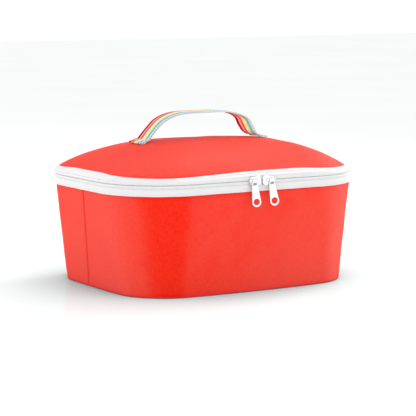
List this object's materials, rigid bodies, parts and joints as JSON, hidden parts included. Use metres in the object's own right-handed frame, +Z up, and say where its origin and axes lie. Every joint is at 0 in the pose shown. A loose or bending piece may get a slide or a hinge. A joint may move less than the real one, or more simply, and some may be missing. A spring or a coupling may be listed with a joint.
{
  "type": "insulated lunch bag",
  "caption": "Soft insulated lunch bag: tapered padded tub with rounded corners, domed zip-round lid on a fabric hinge, pull tabs and a striped webbing handle.",
  "frame": {"origin": "middle of the flat underside, at the height of the surface that the bag stands on", "axes": "+Z up, +X along the width to the right as seen from the front, -Y towards the front with the zip sliders"},
  "size_m": [0.297, 0.2228, 0.1772],
  "materials": {
    "red_fabric": "fine plain-weave polyester, matt with a soft sheen",
    "white_tape": "woven zip tape, matt",
    "binding": "folded binding tape, matt",
    "striped_webbing": "woven webbing with lengthways stripes in several colours",
    "zip_coil": "satin nylon coil",
    "painted_slider": "gloss white paint on die-cast metal",
    "foam": "closed-cell foam sheet",
    "lining": "wipe-clean silver-grey film",
    "backing": "firm woven patch"
  },
  "bodies": {
    "body": {"front_outer_panel": "red_fabric", "back_outer_panel": "red_fabric", "base_outer_panel": "red_fabric", "wall_foam": "foam", "base_foam": "foam", "body_lining": "lining", "body_rim_binding": "binding", "lower_zipper_tape": "white_tape", "lower_zipper_coil": "zip_coil", "left_zipper_stop": "painted_slider", "right_zipper_stop": "painted_slider", "hinge_panel_lower": "red_fabric", "hinge_lining_lower": "lining"},
    "lid": {"lid_outer_panel": "red_fabric", "lid_foam": "foam", "lid_lining": "lining", "lid_rim_binding": "binding", "upper_zipper_tape": "white_tape", "upper_zipper_coil": "zip_coil", "hinge_panel_upper": "red_fabric", "hinge_lining_upper": "lining", "left_handle_end": "striped_webbing", "right_handle_end": "striped_webbing", "left_handle_backing": "backing", "right_handle_backing": "backing"},
    "handle": {"handle_webbing": "striped_webbing"},
    "left_slider": {"left_slider_body": "painted_slider"},
    "left_tab": {"left_pull_tab": "painted_slider"},
    "right_slider": {"right_slider_body": "painted_slider"},
    "right_tab": {"right_pull_tab": "painted_slider"}
  },
  "joints": [
    {"name": "lid_hinge", "type": "hinge", "parent": "body", "child": "lid", "pos_m": [0, 0.1093, 0.1137], "axis": [-1, 0, 0], "range_deg": [0, 120]},
    {"name": "handle_fold", "type": "hinge", "parent": "lid", "child": "handle", "pos_m": [0, 0.005, 0.14674], "axis": [1, 0, 0], "range_deg": [-60, 60], "stiffness_Nm_per_rad": 0.02, "deforming": ["handle_webbing"]},
    {"name": "left_slider_travel", "type": "slide", "parent": "body", "child": "left_slider", "axis": [1, 0, 0], "range_m": [-0.065, 0]},
    {"name": "right_slider_travel", "type": "slide", "parent": "body", "child": "right_slider", "axis": [1, 0, 0], "range_m": [0, 0.06]},
    {"name": "left_tab_swing", "type": "hinge", "parent": "left_slider", "child": "left_tab", "pos_m": [-0.0081, -0.1122, 0.1137], "axis": [-1, 0, 0], "range_deg": [-8, 150]},
    {"name": "right_tab_swing", "type": "hinge", "parent": "right_slider", "child": "right_tab", "pos_m": [0.0125, -0.1122, 0.1137], "axis": [-1, 0, 0], "range_deg": [-8, 150]}
  ]
}
